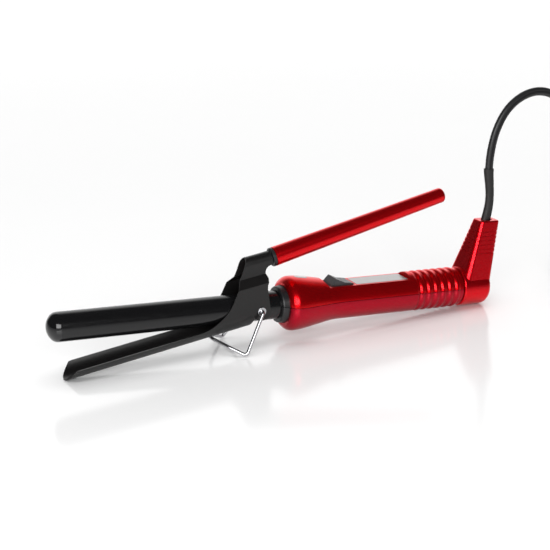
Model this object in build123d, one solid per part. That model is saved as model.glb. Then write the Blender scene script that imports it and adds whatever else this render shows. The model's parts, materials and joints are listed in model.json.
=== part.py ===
from build123d import *

import os
from math import asin, atan2, cos, degrees, hypot, pi, radians, sin, sqrt, tan

# Curling iron with a thumb-lever clamp, lying open on a table.
# Millimetres.  The barrel points along -X, the handle along +X, +Z is up, the table is z = 0.
# Pieces are drawn in one of three frames whose origin is the clamp's pivot:
#   body frame  : X along the barrel and handle, pitched up at the tip by REST_PITCH
#   clamp frame : X along the spoon, which lies along the barrel when the clamp is shut
#   level frame : the table's own directions, used for the stand, the cord sleeve and the cord

# ---------------------------------------------------------------- driving dimensions
FIT = 0.05                # gap between pieces of one body that seat in each other
RUN = 0.06                # radial gap of a shaft that turns in its hole
MOVE_GAP = 0.3            # gap between faces that pass each other

BARREL_R = 9.525          # a 3/4 inch barrel
BARREL_WALL = 0.8
BARREL_LENGTH = 134.5     # pivot to the seam of the tip cap
BARREL_REAR = 44.0        # pivot to the end of the tube, inside the handle
TIP_DEPTH = 7.4
TIP_SPIGOT = 6.0

PIVOT_HEIGHT = 26.24      # above the table, in the resting pose

SHEET = 0.8               # clamp sheet thickness
SPOON_REACH = 135.0       # pivot to the end of the spoon
SPOON_RIM_DROP = 3.4      # from the barrel's axis down to the spoon's rims
SPOON_BACK = -9.5         # where the trough's floor stops, ahead of the pivot
EAR_FLOOR_X = -3.6        # where its cut-away edge has risen to the pivot's height
EAR_BACK = 6.4            # rear edge of the ears
EAR_LOBE_R = 6.6
EAR_TOP = 18.2            # where the ears start to close in towards the neck
NECK_FOOT = 22.8          # where they have closed in to the neck's width
NECK_R = 5.0              # outer radius of the neck's folded top
NECK_BACK = 14.9

LEVER_START = 15.4        # where the lever's parts begin, along the clamp frame's X
LEVER_Z = 30.6            # lever axis above the pivot there
LEVER_PITCH = 4.43        # lever axis above the spoon's direction, degrees
LEVER_ROD_R = 2.5
GRIP_LENGTH = 133.5
GRIP_R_FRONT = 6.5
GRIP_R_REAR = 5.25
GRIP_WALL = 1.3
GRIP_BUSH_LENGTH = 2.2
GRIP_GAP = 0.3

EYELET_R = 2.0
EYELET_FLANGE_R = 2.9
EYELET_FLANGE = 0.55

WIRE_R = 1.2
STAND_FOOT_X = -15.9      # where the feet stand, from the pivot
STAND_FOOT_Y = 20.0
STAND_APEX_X = -32.6      # where the arch meets the spoon's underside
STAND_HIP_Y = 13.0        # where the legs start, beside the eyelets

COLLAR_FRONT = 15.0
COLLAR_R_FRONT = 12.3
COLLAR_R_REAR = 12.9
COLLAR_FLANGE_R = 15.0
COLLAR_FLANGE = 2.2

SEAM_Z = 1.6              # the handle's parting line, above its axis
SEAM_GAP = 0.35
HANDLE_FRONT = 19.4
BULGE_X = 26.0
BULGE_R = 18.5
WAIST_X = 61.0
WAIST_R = 14.0
HANDLE_WALL = 2.0
HANDLE_REAR = 157.4
FLAT_Z = 11.0
FLAT_FRONT = 51.0
FLAT_REAR = 115.0
RIB_FIRST = 123.0
RIB_PITCH = 5.78
RIB_COUNT = 6
RIB_HEIGHT = 0.85
RIB_WIDTH = 4.2
RIB_BED_R = 13.35

ROCKER_X = 62.0
ROCKER_Z = 7.6
ROCKER_SWEEP_R = 9.2
ROCKER_HALF_WIDTH = 6.4
ROCKER_PIN_R = 1.2
SWITCH_FLOOR = 2.2

SCREWS_X = (46.9, 104.0)
SCREW_POST_R = 2.5
SCREW_R = 1.3
SCREW_HEAD_R = 2.2
SCREW_SINK = 3.0          # how deep the heads lie under the shell's skin

LENS_X = 32.6
LENS_LENGTH = 9.4
LENS_WIDTH = 5.2

PLATE_FRONT = 72.8
PLATE_REAR = 113.6
PLATE_HALF_WIDTH = 7.0
PLATE_THICK = 0.35

ELBOW_GAP = 0.6
ELBOW_R = 13.9
ELBOW_LENGTH = 23.0
ELBOW_WALL = 2.0
ELBOW_EDGE = 4.2
BOSS_R = 7.0
BOSS_HEIGHT = 1.3
SPOUT_ROOT_Z = 5.0
SPOUT_TOP_Z = 48.0
SPOUT_TOP_BACK = 22.0     # middle of the spout's top, from the elbow's front
SPOUT_LEAN = 0.242        # how far its middle moves back per mm of height
SPOUT_TOP_HALF = (8.0, 5.9)
SPOUT_TAPER = (0.079, 0.15)
SPOUT_CORNER = 2.8
GROOVE_COUNT = 6
GROOVE_PITCH = 3.0
GROOVE_TOP_Z = 40.6
GROOVE_WIDTH = 0.8
GROOVE_DEPTH = 0.55

SPINDLE_R = 5.0
SPINDLE_TAIL_R = 4.0
RING_R = 5.6
SLEEVE_HALF = (3.6, 2.6)  # half width and half depth of the cord sleeve
CORD_D = 6.0
HANK_MIDDLE = (HANDLE_REAR + 148.6, 0.0)
HANK_RUN = 50.0           # straight part of the hank's turns
HANK_INNER_R = 14.5
HANK_OUTER_R = 26.5
HANK_HEIGHT = 16.4
TIE_THICK = 0.7
TIE_LENGTH = 12.0
TIES = ((HANDLE_REAR + 142.6, 1), (HANDLE_REAR + 161.6, -1))          # place along X, and which run
PLUG_START = (HANDLE_REAR + 223.6, -15.0, 7.7)
PLUG_NECK = 14.0
PLUG_BODY = (23.0, 26.0, 15.0)
BLADE_LENGTH = 17.0
BLADES_Y = (-6.35, 6.35)

# ---------------------------------------------------------------- frames
SPOON_R_IN = BARREL_R + MOVE_GAP
SPOON_R_OUT = SPOON_R_IN + SHEET
ELBOW_FRONT = HANDLE_REAR + ELBOW_GAP
ELBOW_REAR = ELBOW_FRONT + ELBOW_LENGTH
SPOUT_TOP_X = ELBOW_FRONT + SPOUT_TOP_BACK
ELBOW_FOOT_X = ELBOW_REAR - ELBOW_EDGE
HANK_LOW = TIE_THICK + 0.1                # the ties pass under the turns


def angle_down(height, reach, radius):
    """Pitch that brings a cylinder's underside, `reach` from the pivot, down to the table."""
    return degrees(asin(height / hypot(reach, radius)) - atan2(radius, reach))


REST_PITCH = angle_down(PIVOT_HEIGHT, ELBOW_FOOT_X, ELBOW_R)
SPOON_PITCH = -angle_down(PIVOT_HEIGHT, SPOON_REACH, SPOON_R_OUT)
OPEN_ANGLE = REST_PITCH - SPOON_PITCH

TIP_X = -(BARREL_LENGTH + TIP_DEPTH) * cos(radians(REST_PITCH))
BACK_X = ((SPOUT_TOP_X + SPOUT_TOP_HALF[0]) * cos(radians(REST_PITCH))
          + SPOUT_TOP_Z * sin(radians(REST_PITCH)))
CENTRE_X = -(TIP_X + BACK_X) / 2          # puts the origin under the middle of the iron

BODY = Location((CENTRE_X, 0, PIVOT_HEIGHT), (0, REST_PITCH, 0))
CLAMP = Location((CENTRE_X, 0, PIVOT_HEIGHT), (0, SPOON_PITCH, 0))
LEVEL = Location((CENTRE_X, 0, 0))
LEVER = CLAMP * Location((LEVER_START, 0, LEVER_Z), (0, -LEVER_PITCH, 0))

parts = {}


# ---------------------------------------------------------------- small helpers
def keep(name, frame, *solids):
    """Place the solids with a frame and store them as one node."""
    placed = [frame * solid for one in solids for solid in one.solids()]
    parts[name] = placed[0] if len(placed) == 1 else Compound(children=placed)


def behind_elbow(*points):
    """Points whose X is given from the elbow's front face."""
    return [(ELBOW_FRONT + x, y, z) for x, y, z in points]


def block(x0, x1, y0, y1, z0, z1):
    return Pos((x0 + x1) / 2, (y0 + y1) / 2, (z0 + z1) / 2) * Box(x1 - x0, y1 - y0, z1 - z0)


def rod(radius, x0, x1):
    """Cylinder along X."""
    return Pos((x0 + x1) / 2, 0, 0) * Rot(0, 90, 0) * Cylinder(radius, x1 - x0)


def cross_rod(radius, x, z, y0, y1):
    """Cylinder along Y."""
    return Pos(x, (y0 + y1) / 2, z) * Rot(90, 0, 0) * Cylinder(radius, y1 - y0)


def turned(*corners):
    """Solid of revolution about X from a closed outline of (x, radius) corners."""
    return revolve(make_face(Polyline(*[(x, 0, r) for x, r in corners], close=True)), Axis.X)


def side_plate(half_width, *corners):
    """Outline of (x, z) corners, extruded both ways along Y."""
    face = make_face(Polyline(*[(x, 0, z) for x, z in corners], close=True))
    return extrude(face, half_width, both=True)


def wire_along(points, radii, radius):
    """Round wire along straight runs joined by tangent arcs."""
    path = FilletPolyline(*points, radius=radii)
    return sweep(Plane(path @ 0, z_dir=path % 0) * Circle(radius), path)


def mirrored(solid):
    return mirror(solid, Plane.XZ)


# ---------------------------------------------------------------- barrel and heater
def barrel_tube():
    tube = rod(BARREL_R, -BARREL_LENGTH, BARREL_REAR)
    tube -= rod(BARREL_R - BARREL_WALL, -BARREL_LENGTH - 1, BARREL_REAR + 1)
    return tube - cross_rod(EYELET_R + FIT, 0, 0, -BARREL_R - 1, BARREL_R + 1)


def tip_cap():
    x0 = -BARREL_LENGTH
    spigot_r = BARREL_R - BARREL_WALL - FIT
    dome = Spline((x0, 0, BARREL_R), (x0 - TIP_DEPTH * sin(pi / 4), 0, BARREL_R * cos(pi / 4)),
                  (x0 - TIP_DEPTH, 0, 0), tangents=[(-1, 0, 0), (0, 0, -1)])
    rim = Polyline(dome @ 0, (x0, 0, spigot_r), (x0 + TIP_SPIGOT, 0, spigot_r),
                   (x0 + TIP_SPIGOT, 0, 0), dome @ 1)
    return revolve(make_face([dome, *rim.edges()]), Axis.X)


SPREADER_R = BARREL_R - BARREL_WALL - 0.15
SPREADER_SPAN = (-122.0, -24.0)
CORE_HALF = 1.05           # half thickness of a heating element
STRIP = 0.4                # thickness of a contact strip


def heat_spreader():
    bar = rod(SPREADER_R, *SPREADER_SPAN)
    bar &= block(*SPREADER_SPAN, -SPREADER_R, SPREADER_R, CORE_HALF + STRIP + FIT, SPREADER_R)
    return bar


def heating_elements():
    length, gap, count = 26.0, 4.0, 3
    start = SPREADER_SPAN[0] + 4
    return [block(start + i * (length + gap), start + i * (length + gap) + length,
                  -6.5, 6.5, -CORE_HALF, CORE_HALF) for i in range(count)]


def contact_strips():
    x0, x1 = SPREADER_SPAN[0] + 2, SPREADER_SPAN[1] + 6
    upper = block(x0, x1, -5.5, 5.5, CORE_HALF, CORE_HALF + STRIP)
    return [upper, mirror(upper, Plane.XY)]


def thermal_fuse():
    can = Pos(0, 0, 4.5) * rod(2.0, -14.0, -4.0)
    return can.fillet(0.6, can.edges().filter_by(GeomType.CIRCLE))


def heater_leads():
    start = SPREADER_SPAN[1] + 6
    lead_z = CORE_HALF + STRIP + 0.8
    route = [(start, 2.5, lead_z), (start + 12, 3.2, lead_z), (BARREL_REAR - 8, 3.2, 0.4),
             (BARREL_REAR + 4, 4.4, -0.6)]
    lead = wire_along(route, [8, 8], 0.75)
    return [lead, mirrored(lead)]


def pivot_eyelet():
    """Tubular rivet that the ear turns on and the stand's end sits in."""
    flange_y = SPOON_R_OUT + 0.15
    inner = BARREL_R - BARREL_WALL - 0.4
    eyelet = cross_rod(EYELET_R, 0, 0, -flange_y - EYELET_FLANGE, -inner)
    flange = cross_rod(EYELET_FLANGE_R, 0, 0, -flange_y - EYELET_FLANGE, -flange_y)
    rim = flange.edges().filter_by(GeomType.CIRCLE).sort_by(Axis.Y)[0]
    eyelet += flange.fillet(0.3, [rim])
    return eyelet - cross_rod(WIRE_R + RUN, 0, 0, -flange_y - 2, -inner + 1)


# ---------------------------------------------------------------- collar and handle
def collar_ring():
    tube_r = BARREL_R + FIT
    flange_x = HANDLE_FRONT + HANDLE_WALL + 0.4
    ring = turned((COLLAR_FRONT, tube_r), (COLLAR_FRONT, COLLAR_R_FRONT - 1.0),
                  (COLLAR_FRONT + 0.3, COLLAR_R_FRONT - 0.35), (COLLAR_FRONT + 1.0, COLLAR_R_FRONT),
                  (HANDLE_FRONT + 0.8, COLLAR_R_REAR), (flange_x, COLLAR_R_REAR),
                  (flange_x, COLLAR_FLANGE_R), (flange_x + COLLAR_FLANGE, COLLAR_FLANGE_R),
                  (flange_x + COLLAR_FLANGE, tube_r))
    return ring


def above_seam(solid):
    return split(solid, Plane.XY.offset(SEAM_Z + SEAM_GAP / 2), keep=Keep.TOP)


def below_seam(solid):
    return split(solid, Plane.XY.offset(SEAM_Z - SEAM_GAP / 2), keep=Keep.BOTTOM)


def handle_outline():
    """Outer form: rounded front rim, bulge, waist, ribbed rear."""
    lip = Polyline((HANDLE_FRONT, 0, 0), (HANDLE_FRONT, 0, COLLAR_R_REAR + 1.6))
    front = ThreePointArc(lip @ 1, (HANDLE_FRONT + 1.9, 0, BULGE_R - 1.45), (BULGE_X, 0, BULGE_R))
    slope = Spline(front @ 1, (35.5, 0, 17.55), (44.5, 0, 16.0), (53.0, 0, 14.55),
                   (WAIST_X, 0, WAIST_R), tangents=[(1, 0, 0), (1, 0, 0)])
    ribs_x = RIB_FIRST - RIB_PITCH / 2
    rear = Polyline(slope @ 1, (ribs_x - 1.5, 0, WAIST_R), (ribs_x, 0, RIB_BED_R),
                    (HANDLE_REAR - 0.5, 0, RIB_BED_R), (HANDLE_REAR, 0, RIB_BED_R - 0.5),
                    (HANDLE_REAR, 0, 0), lip @ 0)
    return revolve(make_face([*lip.edges(), front, slope, *rear.edges()]), Axis.X)


def ribs():
    """Raised half-round rings where the palm holds the handle."""
    rings = []
    for i in range(RIB_COUNT):
        x = RIB_FIRST + i * RIB_PITCH
        half = RIB_WIDTH / 2
        crest = ThreePointArc((x - half, 0, RIB_BED_R), (x, 0, RIB_BED_R + RIB_HEIGHT),
                              (x + half, 0, RIB_BED_R))
        foot = Polyline(crest @ 1, (x + half, 0, RIB_BED_R - 1), (x - half, 0, RIB_BED_R - 1), crest @ 0)
        rings.append(revolve(make_face([crest, *foot.edges()]), Axis.X))
    return rings


SPINDLE_FLANGE_X = (HANDLE_REAR - 9.4, HANDLE_REAR - 6.4)
SPINDLE_FLANGE_R = 9.0


def handle_cavity():
    tube_r = BARREL_R + FIT
    flange_x = HANDLE_FRONT + HANDLE_WALL + 0.4
    web_x = flange_x + COLLAR_FLANGE + FIT
    inner_waist = WAIST_R - HANDLE_WALL
    room = turned((web_x + 2, 0), (web_x + 2, BULGE_R - HANDLE_WALL - 1.0), (36, 15.0), (46, 13.2),
                  (WAIST_X, inner_waist), (RIB_FIRST - 6, inner_waist), (RIB_FIRST - 2, RIB_BED_R - 2),
                  (SPINDLE_FLANGE_X[0] - 2, RIB_BED_R - 2), (SPINDLE_FLANGE_X[0] - 2, 0))
    room -= block(FLAT_FRONT - 6, FLAT_REAR + 3, -20, 20, FLAT_Z - HANDLE_WALL, 30)
    mouth = rod(COLLAR_R_REAR + FIT, HANDLE_FRONT - 1, flange_x + 1)
    groove = rod(COLLAR_FLANGE_R + FIT, flange_x - FIT, web_x)
    neck = rod(tube_r, web_x - 1, web_x + 3)
    spindle = rod(SPINDLE_R + FIT, SPINDLE_FLANGE_X[0] - 3, HANDLE_REAR + 1)
    seat = rod(SPINDLE_FLANGE_R + FIT, SPINDLE_FLANGE_X[0] - FIT, SPINDLE_FLANGE_X[1] + FIT)
    return [room, mouth, groove, neck, spindle, seat]


def flat_cut():
    """Flat with a sloped step in front and an upright wall behind."""
    return side_plate(25, (FLAT_FRONT, FLAT_Z), (FLAT_REAR, FLAT_Z), (FLAT_REAR + 0.6, 25),
                      (FLAT_FRONT - 14 * 0.82, 25))


def screw_head_z(x):
    """Height of the seat of a screw's head, sunk into the lower shell."""
    skin = 15.5 if x < FLAT_FRONT else WAIST_R
    return SCREW_SINK - skin


def screw_post(x):
    return Pos(x, 0, 0) * Cylinder(SCREW_POST_R, 4 * WAIST_R) & rod(WAIST_R - 1, x - 9, x + 9)


def screw_hole(x):
    seat = screw_head_z(x)
    shank = Pos(x, 0, seat) * Cylinder(SCREW_R + FIT, FLAT_Z - HANDLE_WALL - seat,
                                       align=(Align.CENTER, Align.CENTER, Align.MIN))
    sink = Pos(x, 0, seat) * Cylinder(SCREW_HEAD_R + 0.25, 10,
                                      align=(Align.CENTER, Align.CENTER, Align.MAX))
    return shank + sink


def handle_screw(x):
    """Cross-headed screw, its head down."""
    seat = screw_head_z(x)
    shank = Pos(x, 0, seat) * Cylinder(SCREW_R, FLAT_Z - HANDLE_WALL - 0.5 - seat,
                                       align=(Align.CENTER, Align.CENTER, Align.MIN))
    head = Pos(x, 0, seat) * Cylinder(SCREW_HEAD_R, 1.6, align=(Align.CENTER, Align.CENTER, Align.MAX))
    head = head.fillet(0.5, [head.edges().filter_by(GeomType.CIRCLE).sort_by(Axis.Z)[0]])
    cross = Box(3.0, 0.6, 1.0) + Box(0.6, 3.0, 1.0)
    return shank + head - Pos(x, 0, seat - 1.6) * cross


def handle_shell():
    shell = handle_outline()
    for ring in ribs():
        shell += ring
    shell -= flat_cut()
    for hollow in handle_cavity():
        shell -= hollow
    for x in SCREWS_X:
        shell += screw_post(x) & handle_outline() - flat_cut()
        shell -= screw_hole(x)
    opening = ROCKER_SWEEP_R + 0.35
    half = ROCKER_HALF_WIDTH + MOVE_GAP
    shell -= block(ROCKER_X - opening, ROCKER_X + opening, -half, half, FLAT_Z - 4, FLAT_Z + 8)
    shell -= lens_blank(FIT)
    shell -= block(PLATE_FRONT - FIT, PLATE_REAR + FIT, -PLATE_HALF_WIDTH - FIT, PLATE_HALF_WIDTH + FIT,
                   FLAT_Z - PLATE_THICK * 0.6, FLAT_Z + 5)
    return shell


def lens_blank(extra):
    """Upright oval plug that fits the window in the bulge's top."""
    oval = SlotOverall(LENS_LENGTH + 2 * extra, LENS_WIDTH + 2 * extra)
    return extrude(Pos(LENS_X, 0, BULGE_R - 5) * oval, 6)


def indicator_lens():
    """Lens with its top flush with the bulge, less a small step."""
    skin = handle_outline()
    return lens_blank(0) & skin


def indicator_lamp():
    bulb = Pos(LENS_X, 0, 11.9) * rod(1.6, -4.0, 4.0)
    return bulb.fillet(0.7, bulb.edges().filter_by(GeomType.CIRCLE))


def rating_plate():
    plate = block(PLATE_FRONT, PLATE_REAR, -PLATE_HALF_WIDTH, PLATE_HALF_WIDTH,
                  FLAT_Z - PLATE_THICK * 0.6 + 0.02, FLAT_Z + PLATE_THICK * 0.4)
    return plate.fillet(0.9, plate.edges().filter_by(Axis.Z))


# ---------------------------------------------------------------- switch
def switch_body():
    opening = ROCKER_SWEEP_R + 0.35
    half = ROCKER_HALF_WIDTH + MOVE_GAP
    floor = ROCKER_Z - 6.5 - MOVE_GAP
    box = block(ROCKER_X - opening - 1.2, ROCKER_X + opening + 1.2, -half - 1.2, half + 1.2,
                floor - SWITCH_FLOOR, FLAT_Z - HANDLE_WALL - FIT)
    well = block(ROCKER_X - opening, ROCKER_X + opening, -half, half, floor, FLAT_Z)
    return box - well - cross_rod(ROCKER_PIN_R + RUN, ROCKER_X, ROCKER_Z, -20, 20)


def switch_rocker():
    """Two-faced rocker, its rear half pressed, on two stub pins."""
    body = side_plate(ROCKER_HALF_WIDTH, (ROCKER_X - 10, ROCKER_Z - 0.8), (ROCKER_X - 8.75, 11.3),
                      (ROCKER_X - 4.6, 15.7), (ROCKER_X + 1.6, 12.9), (ROCKER_X + 10, 11.7),
                      (ROCKER_X + 10, ROCKER_Z - 0.8), (ROCKER_X + 4.8, ROCKER_Z - 4.2),
                      (ROCKER_X - 4.8, ROCKER_Z - 4.2))
    body &= cross_rod(ROCKER_SWEEP_R, ROCKER_X, ROCKER_Z, -20, 20)
    crests = [e for e in body.edges().filter_by(Axis.Y) if e.center().Z > 11.2]
    body = body.fillet(0.4, crests)
    reach = ROCKER_HALF_WIDTH + MOVE_GAP + 1.2
    return body + cross_rod(ROCKER_PIN_R, ROCKER_X, ROCKER_Z, -reach, reach)


def switch_terminals():
    floor = ROCKER_Z - 6.5 - MOVE_GAP - SWITCH_FLOOR
    return [block(ROCKER_X + dx - 0.4, ROCKER_X + dx + 0.4, -2.4, 2.4, floor - 5.0, floor)
            for dx in (-6.0, 6.0)]


def supply_leads():
    """Wires from the swivel's rings to the switch."""
    start = SPINDLE_FLANGE_X[0] - 1
    lead = wire_along([(start, 1.2, 0.0), (start - 9, 1.35, -0.3), (start - 27, 4.0, -4.0),
                       (start - 53, 4.2, -5.6), (ROCKER_X + 14, 2.6, -4.0)], [12, 20, 20], 0.75)
    return [lead, mirrored(lead)]


# ---------------------------------------------------------------- clamp
def clamp_section():
    """Closed keyhole section in the Y-Z plane: trough, ears, joggle and folded neck."""
    def ring(offset):
        trough_r = SPOON_R_OUT - offset
        neck_r = NECK_R - offset
        low = ThreePointArc((0, -trough_r, 0), (0, 0, -trough_r), (0, trough_r, 0))
        right = Polyline(low @ 1, (0, trough_r, EAR_TOP), (0, neck_r, NECK_FOOT), (0, neck_r, LEVER_Z))
        roof = ThreePointArc(right @ 1, (0, 0, LEVER_Z + neck_r), (0, -neck_r, LEVER_Z))
        left = Polyline(roof @ 1, (0, -neck_r, NECK_FOOT), (0, -trough_r, EAR_TOP), low @ 0)
        return make_face([low, *right.edges(), roof, *left.edges()])
    return ring(0) - ring(SHEET)


def clamp_side():
    """Side outline of the pressed sheet, from the spoon's end to the neck's back."""
    rim = -SPOON_RIM_DROP
    front = Spline((-46.0, 0, rim), (-38.5, 0, rim + 0.9), (-30.5, 0, rim + 4.1), (-23.5, 0, rim + 8.6),
                   (-18.8, 0, 10.8), (-15.2, 0, 16.0), (-13.0, 0, EAR_TOP + 1.0),
                   (-9.6, 0, NECK_FOOT + 0.6), (-6.6, 0, 28.4), (-3.8, 0, 33.6),
                   tangents=[(1, 0, 0.02), (0.5, 0, 0.86)])
    crown = ThreePointArc(front @ 1, (-2.6, 0, 35.2), (-0.6, 0, 37.0))
    top = Polyline(crown @ 1, (NECK_BACK, 0, 39.0), (NECK_BACK, 0, LEVER_Z - 3.4))
    throat = ThreePointArc(top @ 1, (10.3, 0, 26.4), (8.6, 0, 22.6))
    ear = Polyline(throat @ 1, (9.0, 0, 20.4), (6.9, 0, EAR_TOP - 1.6), (EAR_BACK, 0, 14.0),
                   (EAR_BACK, 0, 0), (EAR_FLOOR_X, 0, 0), (SPOON_BACK, 0, -SPOON_R_OUT - 2),
                   (-SPOON_REACH, 0, -SPOON_R_OUT - 2), (-SPOON_REACH, 0, rim), front @ 0)
    return extrude(make_face([front, crown, *top.edges(), throat, *ear.edges()]), 20, both=True)


def spoon_plan():
    """Plan outline with the spoon's rounded end."""
    half = SPOON_R_OUT + 0.15
    end = EllipticalCenterArc((-SPOON_REACH + 14.5, 0), 14.5, half, start_angle=90, arc_size=180)
    back = Polyline(end @ 1, (40, -half), (40, half), end @ 0)
    return extrude(Pos(0, 0, -30) * make_face([end, *back.edges()]), 80)


def ear_lobes():
    """Flat lobes of the ears below the pivot, which pass the barrel as the clamp swings."""
    lobe = cross_rod(EAR_LOBE_R, 0, 0, -SPOON_R_OUT, SPOON_R_OUT)
    lobe &= block(-20, EAR_BACK, -20, 20, -20, 0.5)
    return lobe - block(-20, 20, -SPOON_R_IN, SPOON_R_IN, -20, 20)


def clamp_sheet():
    profile = Pos(-SPOON_REACH - 5, 0, 0) * clamp_section()
    tube = extrude(profile, SPOON_REACH + 35, dir=(1, 0, 0))
    sheet = tube & clamp_side() & spoon_plan()
    sheet += ear_lobes()
    return sheet - cross_rod(EYELET_R + RUN, 0, 0, -20, 20)


# ---------------------------------------------------------------- lever (lever frame)
GRIP_START = GRIP_BUSH_LENGTH + GRIP_GAP
GRIP_END = GRIP_START + GRIP_LENGTH
ROD_END = GRIP_END - 8.0


def lever_rod():
    """Steel rod whose front end fills the folded neck."""
    plug_r = NECK_R - SHEET - FIT
    stem = rod(LEVER_ROD_R, -1, ROD_END)
    plug = rod(plug_r, -12.0, -0.2)
    return stem + plug


def grip_front_bush():
    bush = turned((0.2, LEVER_ROD_R + FIT), (0.2, NECK_R + 0.9), (0.8, NECK_R + 1.4),
                  (GRIP_BUSH_LENGTH, NECK_R + 1.4), (GRIP_BUSH_LENGTH, LEVER_ROD_R + FIT))
    return bush


def grip_sleeve():
    """Tapered tube with a closed, rounded end."""
    r0, r1 = GRIP_R_FRONT, GRIP_R_REAR
    end = GRIP_END
    outer = Polyline((GRIP_START, 0, r0 - GRIP_WALL), (GRIP_START, 0, r0 - 0.25), (GRIP_START + 0.25, 0, r0),
                     (end - 2.4, 0, r1))
    nose = ThreePointArc(outer @ 1, (end - 0.75, 0, r1 - 0.72), (end, 0, r1 - 2.5))
    inner = Polyline(nose @ 1, (end, 0, 0), (end - 2.0, 0, 0), (end - 2.0, 0, r1 - GRIP_WALL),
                     outer @ 0)
    return revolve(make_face([*outer.edges(), nose, *inner.edges()]), Axis.X)


def grip_bush(x0, x1, seat_r):
    """Nylon bearing pressed in the sleeve, turning on the rod."""
    return rod(seat_r, x0, x1) - rod(LEVER_ROD_R + RUN, x0 - 1, x1 + 1)


def sleeve_bore(x):
    """Inner radius of the sleeve, which tapers along with its outside."""
    share = (x - GRIP_START) / (GRIP_END - 2.0 - GRIP_START)
    return GRIP_R_FRONT - GRIP_WALL + share * (GRIP_R_REAR - GRIP_R_FRONT)


def rod_washer():
    """Washer and rivet head that keep the sleeve on the rod."""
    washer = rod(3.3, ROD_END + FIT, ROD_END + 1.0)
    head = rod(1.8, ROD_END + 1.0, ROD_END + 2.0)
    return washer + head


# ---------------------------------------------------------------- stand (level frame, pivot height up)
def spoon_underside(x):
    """Height above the table of the spoon's underside, x from the pivot."""
    pitch = radians(SPOON_PITCH)
    along = (x + SPOON_R_OUT * sin(pitch)) / cos(pitch)
    return PIVOT_HEIGHT - along * sin(pitch) - SPOON_R_OUT * cos(pitch)


def wire_stand():
    """Two legs in the eyelets, feet, and an arch that stops against the spoon."""
    inner_y = BARREL_R + 0.25
    foot_z = WIRE_R
    apex_z = spoon_underside(STAND_APEX_X) - WIRE_R - 0.12

    def on_arch(share, y):
        return (STAND_FOOT_X + share * (STAND_APEX_X - STAND_FOOT_X), y,
                foot_z + share * (apex_z - foot_z))
    half = [(0, inner_y, PIVOT_HEIGHT), (0, STAND_HIP_Y, PIVOT_HEIGHT),
            on_arch(0, STAND_FOOT_Y), on_arch(0.52, 13.2), on_arch(1.0, 3.0)]
    far = [(x, -y, z) for x, y, z in reversed(half)]
    radii = [1.6, 2.4, 11.0, 4.0]
    return wire_along(half + far, radii + radii[::-1], WIRE_R)


# ---------------------------------------------------------------- swivel
RINGS_X = (ELBOW_FRONT + 7.2, ELBOW_FRONT + 12.6)


def swivel_spindle():
    tail_end = ELBOW_FRONT + 20.6
    spindle = rod(SPINDLE_R, SPINDLE_FLANGE_X[0] - 6, ELBOW_FRONT + 3.2)
    spindle += rod(SPINDLE_FLANGE_R, *SPINDLE_FLANGE_X)
    spindle += rod(SPINDLE_TAIL_R, ELBOW_FRONT + 3, tail_end)
    spindle += rod(SPINDLE_TAIL_R + 1.4, tail_end - 1.4, tail_end)
    return spindle - rod(2.2, SPINDLE_FLANGE_X[0] - 7, ELBOW_FRONT + 2)


def slip_rings():
    return [rod(RING_R, x - 1.6, x + 1.6) - rod(SPINDLE_TAIL_R + FIT, x - 2, x + 2)
            for x in RINGS_X]


# ---------------------------------------------------------------- elbow
def spout_half(z, inset):
    """Half sizes of the spout's section at height z."""
    return [SPOUT_TOP_HALF[i] + SPOUT_TAPER[i] * (SPOUT_TOP_Z - z) - inset for i in (0, 1)]


def spout_section(z, inset=0.0):
    half_x, half_y = spout_half(z, inset)
    middle = SPOUT_TOP_X - SPOUT_LEAN * (SPOUT_TOP_Z - z)
    corner = max(SPOUT_CORNER + 0.03 * (SPOUT_TOP_Z - z) - inset, 0.8)
    return Pos(middle, 0, z) * RectangleRounded(2 * half_x, 2 * half_y, corner)


def spout(inset, z0, z1):
    return loft([spout_section(z0, inset), spout_section(z1, inset)])


def elbow_outer():
    barrel = rod(ELBOW_R, ELBOW_FRONT, ELBOW_REAR)
    rims = barrel.edges().filter_by(GeomType.CIRCLE).sort_by(Axis.X)
    barrel = barrel.fillet(1.3, [rims[0]])
    rims = barrel.edges().filter_by(GeomType.CIRCLE).sort_by(Axis.X)
    barrel = barrel.fillet(ELBOW_EDGE, [rims[-1]])
    boss = rod(BOSS_R, ELBOW_REAR - 1, ELBOW_REAR + BOSS_HEIGHT)
    boss = boss.fillet(0.7, [boss.edges().filter_by(GeomType.CIRCLE).sort_by(Axis.X)[-1]])
    tower = spout(0, SPOUT_ROOT_Z, SPOUT_TOP_Z)
    tower = tower.fillet(1.1, tower.faces().sort_by(Axis.Z)[-1].edges())
    for i in range(GROOVE_COUNT):
        z = GROOVE_TOP_Z - i * GROOVE_PITCH
        frame = Pos(SPOUT_TOP_X, 0, z) * Box(60, 60, GROOVE_WIDTH)
        tower -= frame - spout(GROOVE_DEPTH, z - 2, z + 2)
    return barrel + boss + tower


ELBOW_SCREWS = ((ELBOW_FRONT + 17.6, -8.0), (ELBOW_FRONT + 10.6, 15.2))
WEB_X = (ELBOW_FRONT + 16.6, ELBOW_FRONT + 18.6)


def elbow_hollow():
    inner_r = ELBOW_R - ELBOW_WALL
    room = rod(inner_r, ELBOW_FRONT + ELBOW_WALL, ELBOW_REAR - ELBOW_WALL)
    room -= block(WEB_X[0], WEB_X[1], -20, 20, -20, 8)
    room += spout(ELBOW_WALL, 4.0, SPOUT_TOP_Z - 2.4)
    for x, z in ELBOW_SCREWS:
        room -= cross_rod(2.5, x, z, -20, 20)
    return room


def sleeve_hole():
    """Oval hole through the spout's top, along the cord sleeve."""
    oval = Ellipse(SLEEVE_HALF[0] + 0.6, SLEEVE_HALF[1] + 0.7)
    return Pos(SPOUT_TOP_X - 0.25, 0, SPOUT_TOP_Z - 1) * Rot(0, 10.5, 0) * extrude(oval, 4, both=True)


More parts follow.
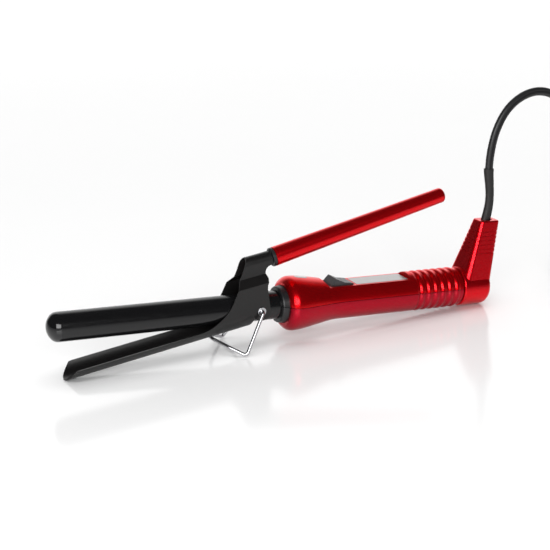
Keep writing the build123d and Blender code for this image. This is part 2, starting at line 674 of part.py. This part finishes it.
def elbow_shell():
    shell = elbow_outer() - elbow_hollow()
    shell -= rod(SPINDLE_R + RUN, ELBOW_FRONT - 1, ELBOW_FRONT + 3.5)
    shell -= rod(SPINDLE_TAIL_R + RUN, WEB_X[0] - 1, WEB_X[1] + 0.3)
    shell -= sleeve_hole()
    for x, z in ELBOW_SCREWS:
        shell -= cross_rod(1.3, x, z, -7.0, 20)
        shell -= cross_rod(2.3, x, z, 7.4, 20)
    return shell


def elbow_half(shell, side):
    half = block(100, 260, 0.08, 60, -60, 120)
    return shell & (half if side > 0 else mirrored(half))


def elbow_screw(x, z):
    shank = cross_rod(1.2, x, z, -6.8, 7.5)
    head = cross_rod(2.2, x, z, 7.45, 9.0)
    return shank + head - Pos(x, 8.9, z) * Box(3.6, 0.8, 0.6) - Pos(x, 8.9, z) * Box(0.6, 0.8, 3.6)


def brush_holder():
    return block(ELBOW_FRONT + 3.8, ELBOW_FRONT + 16.2, -4.8, 4.8, 8.7, 10.6)


def contact_brushes():
    return [block(x - 1.1, x + 1.1, -1.6, 1.6, RING_R + MOVE_GAP, 8.7) for x in RINGS_X]


def cord_clamp():
    """Block that grips the cord under the spout's top."""
    grip = spout(ELBOW_WALL + 0.15, 35.0, 40.0)
    hole = Pos(SPOUT_TOP_X - 1.4, 0, 37.5) * extrude(Ellipse(*SLEEVE_HALF), 4, both=True)
    return grip - hole


def cord_cores():
    """The lead's two conductors, from the brushes up to the clamp."""
    core = wire_along(behind_elbow((14.4, 2.0, 10.7), (14.8, 2.0, 18.0), (17.4, 2.0, 27.0),
                                   (18.6, 2.0, 34.6)), [8, 12], 0.9)
    return [core, mirrored(core)]


# ---------------------------------------------------------------- cord (level frame)
SLEEVE_ROUTE = behind_elbow((22.4, 0, 54.3), (24.5, 0, 62.5), (26.6, 0, 72.0), (26.9, 0, 82.0),
                            (26.0, 0, 91.0), (25.5, 0, 98.4))
SLEEVE_SHARES = [1.04, 1.0, 0.93, 0.9, 0.98, 1.08]

# Lead from the sleeve: up, over and down behind the elbow, then along the table to the coil.
CORD_ROUTE = behind_elbow((25.5, 0, 98.4), (26.4, 0, 110.0), (30.2, 0, 125.5), (39.5, 0.5, 140.0),
                          (54.5, 1.5, 148.5), (71.0, 2.5, 149.7), (87.4, 3.0, 142.6),
                          (98.3, 3.0, 128.8), (103.0, 1.5, 110.0), (104.3, -2.0, 89.0),
                          (105.0, -7.0, 68.5), (107.5, -12.5, 50.0), (113.5, -16.8, 33.5),
                          (124.5, -19.4, 21.5), (139.0, -20.5, 15.7), (154.0, -20.5, 14.6))

# Tail from the hank to the plug.
TAIL_ROUTE = behind_elbow((176.0, -23.4, 3.4), (190.0, -22.8, 3.6), (202.5, -20.2, 4.8),
                          (214.0, -17.0, 6.6), (225.0, -15.0, 7.7))


def strain_relief_sleeve():
    """Shrunk sleeve, a flat oval that waists in the middle."""
    line = [*SLEEVE_ROUTE, CORD_ROUTE[1]]
    sections = []
    for i, (point, share) in enumerate(zip(SLEEVE_ROUTE, SLEEVE_SHARES)):
        start = i if i in (0, len(SLEEVE_ROUTE) - 1) else i - 1
        along = (Vector(*line[i + 1]) - Vector(*line[start])).normalized()
        plane = Plane(Vector(*point), x_dir=Vector(0, 1, 0).cross(along), z_dir=along)
        sections.append(plane * Ellipse(SLEEVE_HALF[0] * share, SLEEVE_HALF[1] * share))
    return loft(sections)


def largest_radii(points, label):
    """One arc radius per corner, each as large as its two runs allow."""
    radii = []
    for a, b, c in zip(points, points[1:], points[2:]):
        before, after = Vector(*b) - Vector(*a), Vector(*c) - Vector(*b)
        turn = radians(before.get_angle(after))
        radii.append(0.45 * min(before.length, after.length) / tan(turn / 2))
    print(label, "radii", [round(r, 1) for r in radii])
    return radii


def cord_tube(points, label):
    tube = wire_along(points, largest_radii(points, label), CORD_D / 2)
    length = tube.volume / (pi * (CORD_D / 2) ** 2)
    print(label, "length from volume", round(length, 1))
    return tube


def hank_plan(inner, outer):
    return SlotCenterToCenter(HANK_RUN, 2 * outer) - SlotCenterToCenter(HANK_RUN, 2 * inner)


def cord_coil():
    """Outer form of the long turns that the spare lead is wound in."""
    hank = extrude(hank_plan(HANK_INNER_R, HANK_OUTER_R), HANK_HEIGHT)
    rims = hank.faces().sort_by(Axis.Z)[0].edges() + hank.faces().sort_by(Axis.Z)[-1].edges()
    return Pos(*HANK_MIDDLE, HANK_LOW) * hank.fillet(2.4, rims)


def coil_tie(place, side):
    """Strap round one run of the hank."""
    width, height = HANK_OUTER_R - HANK_INNER_R + 2 * FIT, HANK_HEIGHT + 2 * FIT
    strap = (RectangleRounded(width + 2 * TIE_THICK, height + 2 * (TIE_THICK - FIT), 2.9)
             - RectangleRounded(width, height, 2.3))
    band = extrude(Plane.YZ * strap, TIE_LENGTH / 2, both=True)
    return Pos(place, side * (HANK_OUTER_R + HANK_INNER_R) / 2, HANK_LOW + HANK_HEIGHT / 2) * band


def plug_body():
    """Moulded two-pin plug with a tapered cord neck, lying flat."""
    width, length, thick = PLUG_BODY
    neck = loft([Plane.YZ.offset(dx) * RectangleRounded(w, h, min(w, h) * 0.45)
                 for dx, w, h in ((0, 8.0, 7.0), (PLUG_NECK, 12.5, 10.0))])
    grip = extrude(Plane.YZ.offset(PLUG_NECK) * RectangleRounded(width, thick, 4.0), length)
    grip = grip.fillet(1.6, grip.faces().sort_by(Axis.X)[0].edges())
    body = neck + grip
    for y in BLADES_Y:
        body -= Pos(0, y, 0) * plug_blade(FIT)
    return Pos(*PLUG_START) * body


def plug_blade(extra):
    front = PLUG_NECK + PLUG_BODY[1]
    blade = block(front - 4 - extra, front + BLADE_LENGTH, -0.75 - extra, 0.75 + extra, -3.2 - extra, 3.2 + extra)
    return blade.fillet(1.2, blade.edges().filter_by(Axis.Y).sort_by(Axis.X)[-2:])


def plug_blades():
    return [Pos(*PLUG_START) * Pos(0, y, 0) * plug_blade(0) for y in BLADES_Y]


# ---------------------------------------------------------------- build
def build_barrel():
    keep("barrel_tube", BODY, barrel_tube())
    keep("tip_cap", BODY, tip_cap())
    spreader = heat_spreader()
    keep("heat_spreader_upper", BODY, spreader)
    keep("heat_spreader_lower", BODY, mirror(spreader, Plane.XY))
    keep("heating_elements", BODY, *heating_elements())
    keep("contact_strips", BODY, *contact_strips())
    keep("thermal_fuse", BODY, thermal_fuse())
    keep("heater_leads", BODY, *heater_leads())
    eyelet = pivot_eyelet()
    keep("pivot_eyelets", BODY, eyelet, mirrored(eyelet))


def build_handle():
    ring = collar_ring()
    keep("collar_upper", BODY, above_seam(ring))
    keep("collar_lower", BODY, below_seam(ring))
    shell = handle_shell()
    keep("handle_screws", BODY, *[handle_screw(x) for x in SCREWS_X])
    keep("handle_upper_shell", BODY, above_seam(shell))
    keep("handle_lower_shell", BODY, below_seam(shell))
    keep("indicator_lens", BODY, indicator_lens())
    keep("indicator_lamp", BODY, indicator_lamp())
    keep("rating_plate", BODY, rating_plate())
    keep("switch_body", BODY, switch_body())
    keep("switch_terminals", BODY, *switch_terminals())
    keep("switch_rocker", BODY, switch_rocker())
    keep("supply_leads", BODY, *supply_leads())


def build_swivel():
    keep("swivel_spindle", BODY, swivel_spindle())
    keep("slip_rings", BODY, *slip_rings())
    shell = elbow_shell()
    keep("elbow_near_shell", BODY, elbow_half(shell, -1))
    keep("elbow_far_shell", BODY, elbow_half(shell, 1))
    keep("elbow_screws", BODY, *[elbow_screw(x, z) for x, z in ELBOW_SCREWS])
    keep("brush_holder", BODY, brush_holder())
    keep("contact_brushes", BODY, *contact_brushes())
    keep("cord_clamp", BODY, cord_clamp())
    keep("cord_cores", BODY, *cord_cores())


def build_clamp():
    keep("clamp_spoon", CLAMP, clamp_sheet())
    keep("lever_rod", LEVER, lever_rod())
    keep("grip_front_bush", LEVER, grip_front_bush())
    keep("grip_sleeve", LEVER, grip_sleeve())
    keep("grip_bearing_front", LEVER, grip_bush(GRIP_START + 2, GRIP_START + 12,
                                               sleeve_bore(GRIP_START + 12) - FIT))
    keep("grip_bearing_rear", LEVER, grip_bush(ROD_END - 12, ROD_END - 2, sleeve_bore(ROD_END - 2) - FIT))
    keep("rod_washer", LEVER, rod_washer())
    keep("wire_stand", LEVEL, wire_stand())


def build_cord():
    keep("strain_relief_sleeve", LEVEL, strain_relief_sleeve())
    keep("cord_lead", LEVEL, cord_tube(CORD_ROUTE, "cord_lead"))
    keep("cord_tail", LEVEL, cord_tube(TAIL_ROUTE, "cord_tail"))
    keep("cord_coil", LEVEL, cord_coil())
    keep("coil_tie", LEVEL, *[coil_tie(*tie) for tie in TIES])
    keep("plug_body", LEVEL, plug_body())
    keep("plug_blades", LEVEL, *plug_blades())


if __name__ == "__main__":
    build_barrel()
    build_handle()
    build_swivel()
    build_clamp()
    build_cord()
    os.makedirs("parts", exist_ok=True)
    for name, shape in parts.items():
        export_step(shape, f"parts/{name}.step")
    print("pitch", round(REST_PITCH, 3), "spoon", round(SPOON_PITCH, 3), "open", round(OPEN_ANGLE, 3),
          "centre_x", round(CENTRE_X, 3))
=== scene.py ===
import bpy
import json
from math import cos, pi, radians, sin
from mathutils import Matrix, Vector


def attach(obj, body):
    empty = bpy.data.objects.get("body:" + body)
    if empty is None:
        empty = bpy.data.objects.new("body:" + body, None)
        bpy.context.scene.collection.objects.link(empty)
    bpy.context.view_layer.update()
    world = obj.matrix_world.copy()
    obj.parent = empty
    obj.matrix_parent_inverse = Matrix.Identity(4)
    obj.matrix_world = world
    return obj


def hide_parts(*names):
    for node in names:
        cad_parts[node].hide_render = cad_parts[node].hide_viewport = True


# Looks for the curling iron: camera, cord, finishes, studio.  Metres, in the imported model's frame.

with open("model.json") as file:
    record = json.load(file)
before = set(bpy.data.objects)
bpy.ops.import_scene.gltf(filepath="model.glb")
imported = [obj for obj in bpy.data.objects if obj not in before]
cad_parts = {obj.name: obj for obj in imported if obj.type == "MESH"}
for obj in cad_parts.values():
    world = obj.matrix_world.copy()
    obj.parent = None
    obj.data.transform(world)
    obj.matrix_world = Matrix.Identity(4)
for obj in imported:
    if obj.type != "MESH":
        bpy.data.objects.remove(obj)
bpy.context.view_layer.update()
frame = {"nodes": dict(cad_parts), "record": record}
nodes = frame["nodes"]
MM = 0.001
PIVOT_X = -24.673          # the clamp's pivot along X: places in millimetres are counted from it
HEADING = radians(25.409)  # the camera's, from +Y towards +X
LEVEL_FRONT = Vector((sin(HEADING), cos(HEADING), 0))


def from_pivot(x, y, z):
    """A place in the model's frame, in metres, from millimetres counted from the pivot."""
    return (x + PIVOT_X) * MM, y * MM, z * MM


def ease(share):
    """Smooth step from 0 to 1."""
    return share * share * (3 - 2 * share)


# ---------------------------------------------------------------- camera
CAMERA_PLACE = (-323.39, -712.29, 303.98)
CAMERA_PITCH, CAMERA_ROLL = radians(18.12), radians(-1.0215)
LENS, SENSOR_WIDTH = 81.818, 36.0


def make_camera():
    pitch, roll = CAMERA_PITCH, CAMERA_ROLL
    level_right = Vector((cos(HEADING), -sin(HEADING), 0))
    level_front = LEVEL_FRONT
    front = level_front * cos(pitch) - Vector((0, 0, 1)) * sin(pitch)
    up = Vector((0, 0, 1)) * cos(pitch) + level_front * sin(pitch)
    right_axis = level_right * cos(roll) + up * sin(roll)
    up_axis = up * cos(roll) - level_right * sin(roll)
    camera = bpy.data.objects.new("camera", bpy.data.cameras.new("camera"))
    camera.data.lens, camera.data.sensor_width = LENS, SENSOR_WIDTH
    camera.data.clip_start, camera.data.clip_end = 0.01, 50
    turn = Matrix((right_axis, up_axis, -front)).transposed().to_4x4()
    camera.matrix_world = Matrix.Translation(from_pivot(*CAMERA_PLACE)) @ turn
    bpy.context.scene.collection.objects.link(camera)
    bpy.context.scene.camera = camera


make_camera()


# ---------------------------------------------------------------- cord
# The points of the sleeve's, the lead's and the tail's routes in the CAD source, which counts
# them from the elbow's front; the three nearest the hank differ by 0.1 to 0.3 mm in height.
SLEEVE_ROUTE = [(180.4, 0, 54.3), (182.5, 0, 62.5), (184.6, 0, 72.0), (184.9, 0, 82.0),
                (184.0, 0, 91.0)]
CORD_ROUTE = [(183.5, 0, 98.4), (184.4, 0, 110.0), (188.2, 0, 125.5), (197.5, 0.5, 140.0),
              (212.5, 1.5, 148.5), (229.0, 2.5, 149.7), (245.4, 3.0, 142.6), (256.3, 3.0, 128.8),
              (261.0, 1.5, 110.0), (262.3, -2.0, 89.0), (263.0, -7.0, 68.5),
              (265.5, -12.5, 50.0), (271.5, -16.8, 33.5), (282.5, -19.4, 21.5),
              (297.0, -20.5, 15.7), (312.0, -20.5, 14.9)]
TAIL_ROUTE = [(334.0, -23.4, 3.1), (348.0, -22.8, 3.5), (360.5, -20.2, 4.8),
              (372.0, -17.0, 6.6), (383.0, -15.0, 7.7)]
HANK_MIDDLE_X = 306.0
HANK_HALF_RUN = 25.0
LEAD_WIDTH = 6.0
STRAND_R = 2.0             # each of the flat lead's two strands
# Distance from the hank's middle line and height of each turn, from the top one down.
TURNS = [(20.5, 14.8), (17.9, 11.0), (23.5, 11.0), (23.5, 6.95), (17.9, 6.95), (17.9, 2.9),
         (23.5, 2.9)]
BEND_BULGE = 1.045         # control points on the bends lie this much outside the curve
TWIST = (0.19, 0.28)       # where along the lead it turns flat side down, metres


def hank_points():
    """Turns of the put-away length: up one run, round the far end, back and round the near end."""
    points = []
    for turn in range(len(TURNS) - 1):
        for step in range(16):
            share = ease(max(0.0, (step - 10) / 6))
            r, z = (a + (b - a) * share for a, b in zip(TURNS[turn], TURNS[turn + 1]))
            wide = r * BEND_BULGE
            if step < 5:
                angle = radians(-72 + 36 * step)
                place = (HANK_HALF_RUN + wide * cos(angle), wide * sin(angle))
            elif step < 8:
                place = (HANK_HALF_RUN * (1 - (step - 4.5) / 2), r)
            elif step < 13:
                angle = radians(108 + 36 * (step - 8))
                place = (-HANK_HALF_RUN + wide * cos(angle), wide * sin(angle))
            else:
                place = (HANK_HALF_RUN * ((step - 12.5) / 2 - 1), -r)
            points.append((HANK_MIDDLE_X + place[0], place[1], z))
    return points


def smooth_line(points, name):
    """Points of the NURBS spline that has these control points, in metres."""
    curve = bpy.data.curves.new(name, "CURVE")
    curve.dimensions = "3D"
    spline = curve.splines.new("NURBS")
    spline.points.add(len(points) - 1)
    for place, (x, y, z) in zip(spline.points, points):
        place.co = (*from_pivot(x, y, z), 1)
    spline.order_u = 3
    spline.use_endpoint_u = True
    spline.resolution_u = 8
    holder = bpy.data.objects.new(name, curve)
    bpy.context.scene.collection.objects.link(holder)
    bpy.context.view_layer.update()
    depsgraph = bpy.context.evaluated_depsgraph_get()
    mesh = bpy.data.meshes.new_from_object(holder.evaluated_get(depsgraph))
    line = [v.co.copy() for v in mesh.vertices]
    bpy.data.objects.remove(holder)
    bpy.data.meshes.remove(mesh)
    return line


def twin_section():
    """Closed outline of two strands side by side with a shallow web between them."""
    offset = LEAD_WIDTH / 2 - STRAND_R
    outline = []
    for side in (1, -1):
        for i in range(11):
            angle = radians(-120 + 240 * i / 10)
            outline.append((side * (offset + STRAND_R * cos(angle)) * MM,
                            side * STRAND_R * sin(angle) * MM))
    return outline


def swept(name, line, section, first_side):
    """Tube with that section along the line: it keeps its side up to the twist, then lies flat."""
    side = first_side
    verts, faces = [], []
    n = len(section)
    run = 0.0
    for i, point in enumerate(line):
        run += (point - line[max(i - 1, 0)]).length
        along = (line[min(i + 1, len(line) - 1)] - line[max(i - 1, 0)]).normalized()
        side = (side - along * side.dot(along)).normalized()
        share = ease(min(max((run - TWIST[0]) / (TWIST[1] - TWIST[0]), 0.0), 1.0))
        flat = along.cross(Vector((0, 0, 1))) if run > TWIST[1] else Vector((0, -1, 0))
        flat = (flat - along * flat.dot(along)).normalized()
        across = (side * cos(share * pi / 2) + flat * sin(share * pi / 2)).normalized()
        other = along.cross(across)
        verts += [point + across * u + other * v for u, v in section]
    for i in range(len(line) - 1):
        for k in range(n):
            a, b = i * n + k, i * n + (k + 1) % n
            faces.append((a, b, b + n, a + n))
    faces.append(tuple(range(n))[::-1])
    faces.append(tuple(range((len(line) - 1) * n, len(line) * n)))
    mesh = bpy.data.meshes.new(name)
    mesh.from_pydata(verts, [], faces)
    mesh.update()
    for polygon in mesh.polygons:
        polygon.use_smooth = True
    obj = bpy.data.objects.new(name, mesh)
    bpy.context.scene.collection.objects.link(obj)
    return obj


lead_line = smooth_line(SLEEVE_ROUTE + CORD_ROUTE + hank_points() + TAIL_ROUTE, "lead_route")
lead = swept("mains_lead", lead_line, twin_section(), Vector((1, 0, 0)))
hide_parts("cord_lead", "cord_coil", "cord_tail")
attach(lead, "cord_elbow")


# ---------------------------------------------------------------- finishes
def finish_of(name, base, metallic=0.0, roughness=0.4, **sockets):
    """Principled material; sockets are given by name with _ for spaces."""
    material = bpy.data.materials.new(name)
    material.use_nodes = True
    shader = material.node_tree.nodes["Principled BSDF"]
    shader.inputs["Base Color"].default_value = (*base, 1)
    shader.inputs["Metallic"].default_value = metallic
    shader.inputs["Roughness"].default_value = roughness
    for key, value in sockets.items():
        shader.inputs[key.replace("_", " ")].default_value = value
    return material


def noise(material, scale, detail=2.0, stretch=None):
    """Noise in the object's own metres; scale is cells per metre."""
    tree = material.node_tree
    coords = tree.nodes.new("ShaderNodeTexCoord")
    texture = tree.nodes.new("ShaderNodeTexNoise")
    texture.inputs["Scale"].default_value = scale
    texture.inputs["Detail"].default_value = detail
    if stretch:
        mapping = tree.nodes.new("ShaderNodeMapping")
        mapping.inputs["Scale"].default_value = stretch
        tree.links.new(coords.outputs["Object"], mapping.inputs["Vector"])
        tree.links.new(mapping.outputs["Vector"], texture.inputs["Vector"])
    else:
        tree.links.new(coords.outputs["Object"], texture.inputs["Vector"])
    return texture


def vary(material, socket, low, high, scale, detail=2.0, stretch=None):
    """Lets a socket wander between two values with noise."""
    tree = material.node_tree
    texture = noise(material, scale, detail, stretch)
    spread = tree.nodes.new("ShaderNodeMapRange")
    spread.inputs["From Min"].default_value = 0.3
    spread.inputs["From Max"].default_value = 0.7
    spread.inputs["To Min"].default_value = low
    spread.inputs["To Max"].default_value = high
    tree.links.new(texture.outputs["Fac"], spread.inputs["Value"])
    tree.links.new(spread.outputs["Result"], tree.nodes["Principled BSDF"].inputs[socket])


def tint(material, low, high, scale, detail=2.0, stretch=None):
    """Lets the base colour wander between two colours with noise."""
    tree = material.node_tree
    texture = noise(material, scale, detail, stretch)
    ramp = tree.nodes.new("ShaderNodeValToRGB")
    ramp.color_ramp.elements[0].position = 0.3
    ramp.color_ramp.elements[1].position = 0.7
    ramp.color_ramp.elements[0].color = (*low, 1)
    ramp.color_ramp.elements[1].color = (*high, 1)
    tree.links.new(texture.outputs["Fac"], ramp.inputs["Fac"])
    tree.links.new(ramp.outputs["Color"], tree.nodes["Principled BSDF"].inputs["Base Color"])


def bump(material, scale, strength, distance, detail=2.0, stretch=None):
    tree = material.node_tree
    texture = noise(material, scale, detail, stretch)
    relief = tree.nodes.new("ShaderNodeBump")
    relief.inputs["Strength"].default_value = strength
    relief.inputs["Distance"].default_value = distance
    tree.links.new(texture.outputs["Fac"], relief.inputs["Height"])
    tree.links.new(relief.outputs["Normal"], tree.nodes["Principled BSDF"].inputs["Normal"])


def barrel_coat():
    m = finish_of("black_barrel", (0.004, 0.004, 0.0045), 0.0, 0.2)
    vary(m, "Roughness", 0.16, 0.24, 900, 4, (0.15, 1, 1))
    bump(m, 2600, 0.05, 0.0001, 3)
    return m


def tip_plastic():
    m = finish_of("black_tip", (0.004, 0.004, 0.0045), 0.0, 0.12, Coat_Weight=0.3,
                  Coat_Roughness=0.05)
    vary(m, "Roughness", 0.1, 0.18, 500)
    return m


def clamp_coat():
    m = finish_of("black_clamp", (0.005, 0.0045, 0.0045), 0.0, 0.33)
    vary(m, "Roughness", 0.3, 0.42, 700, 4)
    bump(m, 3200, 0.08, 0.0001, 4)
    return m


def chrome():
    m = finish_of("chrome_parts", (0.55, 0.55, 0.57), 1.0, 0.09)
    vary(m, "Roughness", 0.06, 0.14, 1200, 3)
    return m


def candy(name, low, high):
    """Metal flakes under tinted lacquer, with a clear top coat."""
    m = finish_of(name, high, 0.9, 0.25, Coat_Weight=0.2, Coat_Roughness=0.06)
    tint(m, low, high, 5200, 3)
    vary(m, "Roughness", 0.24, 0.32, 4000, 2)
    bump(m, 9000, 0.10, 0.00005, 2)
    return m


def moulded(name, base, roughness, grain=4500, depth=0.12):
    m = finish_of(name, base, 0.0, roughness)
    vary(m, "Roughness", roughness - 0.05, roughness + 0.08, 900, 3)
    bump(m, grain, depth, 0.0001, 3)
    return m


def metal(name, base, roughness, stretch=None):
    m = finish_of(name, base, 1.0, roughness)
    vary(m, "Roughness", roughness - 0.06, roughness + 0.1, 1500, 4, stretch)
    bump(m, 3000, 0.06, 0.00005, 3, stretch)
    return m


def label():
    m = finish_of("silver_label", (0.45, 0.445, 0.44), 0.75, 0.34)
    vary(m, "Roughness", 0.28, 0.42, 2500, 3, (0.05, 1, 1))
    bump(m, 5000, 0.05, 0.00005, 2, (0.05, 1, 1))
    return m


def window():
    m = finish_of("dark_lens", (0.02, 0.001, 0.003), 0.0, 0.08, Coat_Weight=1.0,
                  Coat_Roughness=0.03)
    tint(m, (0.012, 0.001, 0.002), (0.03, 0.002, 0.005), 300)
    return m


def bulb():
    m = finish_of("lamp_glass", (0.9, 0.25, 0.15), 0.0, 0.08, Transmission_Weight=0.8)
    tint(m, (0.85, 0.2, 0.12), (0.95, 0.3, 0.2), 400)
    return m


finishes = {
    "black_barrel": barrel_coat(),
    "black_tip": tip_plastic(),
    "black_clamp": clamp_coat(),
    "chrome_parts": chrome(),
    "black_bush": moulded("black_bush", (0.012, 0.012, 0.013), 0.38),
    "black_collar": moulded("black_collar", (0.010, 0.010, 0.011), 0.34),
    "red_lacquer": candy("red_lacquer", (0.70, 0.0005, 0.004), (0.82, 0.001, 0.007)),
    # The lower shell's red is the same lacquer with a darker base colour: painted shade where the
    # shell faces down, away from the lights.
    "red_lacquer_lower": candy("red_lacquer_lower", (0.40, 0.0005, 0.012), (0.48, 0.001, 0.018)),
    "red_plastic_elbow": candy("red_plastic_elbow", (0.70, 0.0005, 0.006), (0.80, 0.001, 0.010)),
    "dark_lens": window(),
    "lamp_glass": bulb(),
    "silver_label": label(),
    "switch_plastic": moulded("switch_plastic", (0.035, 0.035, 0.038), 0.36),
    "steel_rod": metal("steel_rod", (0.56, 0.56, 0.58), 0.25),
    "zinc_screws": metal("zinc_screws", (0.55, 0.55, 0.57), 0.3),
    "raw_aluminium": metal("raw_aluminium", (0.75, 0.75, 0.77), 0.4, (0.05, 1, 1)),
    "heater_ceramic": moulded("heater_ceramic", (0.8, 0.79, 0.75), 0.6),
    "brass_contacts": metal("brass_contacts", (0.75, 0.52, 0.2), 0.25),
    "copper_cores": moulded("copper_cores", (0.45, 0.3, 0.2), 0.5),
    "fuse_metal": metal("fuse_metal", (0.7, 0.7, 0.7), 0.3),
    "lead_insulation": moulded("lead_insulation", (0.8, 0.8, 0.76), 0.6),
    "inner_plastic": moulded("inner_plastic", (0.04, 0.04, 0.04), 0.5),
    "sleeve_rubber": moulded("sleeve_rubber", (0.010, 0.010, 0.010), 0.5),
    "cord_jacket": moulded("cord_jacket", (0.014, 0.014, 0.015), 0.36),
    "tie_rubber": moulded("tie_rubber", (0.02, 0.02, 0.02), 0.5),
    "plug_plastic": moulded("plug_plastic", (0.012, 0.012, 0.013), 0.36),
}
slot_of = {s["node"]: s["material_slot"] for s in frame["record"]["subparts"]}
for name, node in nodes.items():
    node.data.materials.clear()
    node.data.materials.append(finishes[slot_of[name]])
lead.data.materials.append(finishes["cord_jacket"])


# ---------------------------------------------------------------- studio
FLOOR_HALF = 12.0                   # metres
ROOM, WALL = 0.06, 1.3              # brightness of the room and of the wall behind the iron
WALL_EDGE = (0.55, 0.85)            # how near the camera's heading the wall starts and is full
FILL_STRENGTH, FILL_SPREAD = 2.0, 60
FRONT_BOX = {"place": (-0.51, -1.08, 0.53), "target": (0, 0, 0.03), "size": (1.3, 0.65),
             "power": 14}           # metres, watts


def floor():
    mesh = bpy.data.meshes.new("floor")
    half = FLOOR_HALF
    corners = [(-half, -half, 0), (half, -half, 0), (half, half, 0), (-half, half, 0)]
    mesh.from_pydata(corners, [], [(0, 1, 2, 3)])
    obj = bpy.data.objects.new("floor", mesh)
    bpy.context.scene.collection.objects.link(obj)
    m = finish_of("floor_white", (0.9, 0.9, 0.9), 0.0, 0.13, Specular_IOR_Level=0.6)
    vary(m, "Roughness", 0.12, 0.16, 3, 2)
    mesh.materials.append(m)


def softbox(name, place, target, size, power):
    light = bpy.data.lights.new(name, "AREA")
    light.shape = "RECTANGLE"
    light.size, light.size_y = size
    light.energy = power
    obj = bpy.data.objects.new(name, light)
    obj.location = place
    obj.rotation_euler = (Vector(target) - Vector(place)).to_track_quat("-Z", "Y").to_euler()
    bpy.context.scene.collection.objects.link(obj)


def fill_sun(strength, spread):
    """Even light from straight above, which mirrors don't see."""
    light = bpy.data.lights.new("fill_sun", "SUN")
    light.energy, light.angle = strength, radians(spread)
    obj = bpy.data.objects.new("fill_sun", light)
    obj.visible_glossy = False
    bpy.context.scene.collection.objects.link(obj)


def studio_world():
    """White to the camera; to everything else a bright wall behind the iron in a dark room."""
    world = bpy.data.worlds.new("studio")
    world.use_nodes = True
    tree = world.node_tree
    backdrop = tree.nodes["Background"]
    backdrop.inputs["Color"].default_value = (1, 1, 1, 1)
    backdrop.inputs["Strength"].default_value = 1.0
    coords = tree.nodes.new("ShaderNodeTexCoord")
    facing = tree.nodes.new("ShaderNodeVectorMath")
    facing.operation = "DOT_PRODUCT"
    facing.inputs[1].default_value = LEVEL_FRONT
    wall = tree.nodes.new("ShaderNodeMapRange")
    wall.interpolation_type = "SMOOTHSTEP"
    for key, value in (("From Min", WALL_EDGE[0]), ("From Max", WALL_EDGE[1]),
                       ("To Min", ROOM), ("To Max", WALL)):
        wall.inputs[key].default_value = value
    room = tree.nodes.new("ShaderNodeBackground")
    room.inputs["Color"].default_value = (1, 1, 1, 1)
    path = tree.nodes.new("ShaderNodeLightPath")
    mix = tree.nodes.new("ShaderNodeMixShader")
    tree.links.new(coords.outputs["Generated"], facing.inputs[0])
    tree.links.new(facing.outputs["Value"], wall.inputs["Value"])
    tree.links.new(wall.outputs["Result"], room.inputs["Strength"])
    tree.links.new(path.outputs["Is Camera Ray"], mix.inputs["Fac"])
    tree.links.new(room.outputs["Background"], mix.inputs[1])
    tree.links.new(backdrop.outputs["Background"], mix.inputs[2])
    tree.links.new(mix.outputs["Shader"], tree.nodes["World Output"].inputs["Surface"])
    bpy.context.scene.world = world


floor()
studio_world()
fill_sun(FILL_STRENGTH, FILL_SPREAD)
softbox("front_box", **FRONT_BOX)
bpy.context.scene.view_settings.view_transform = "Standard"
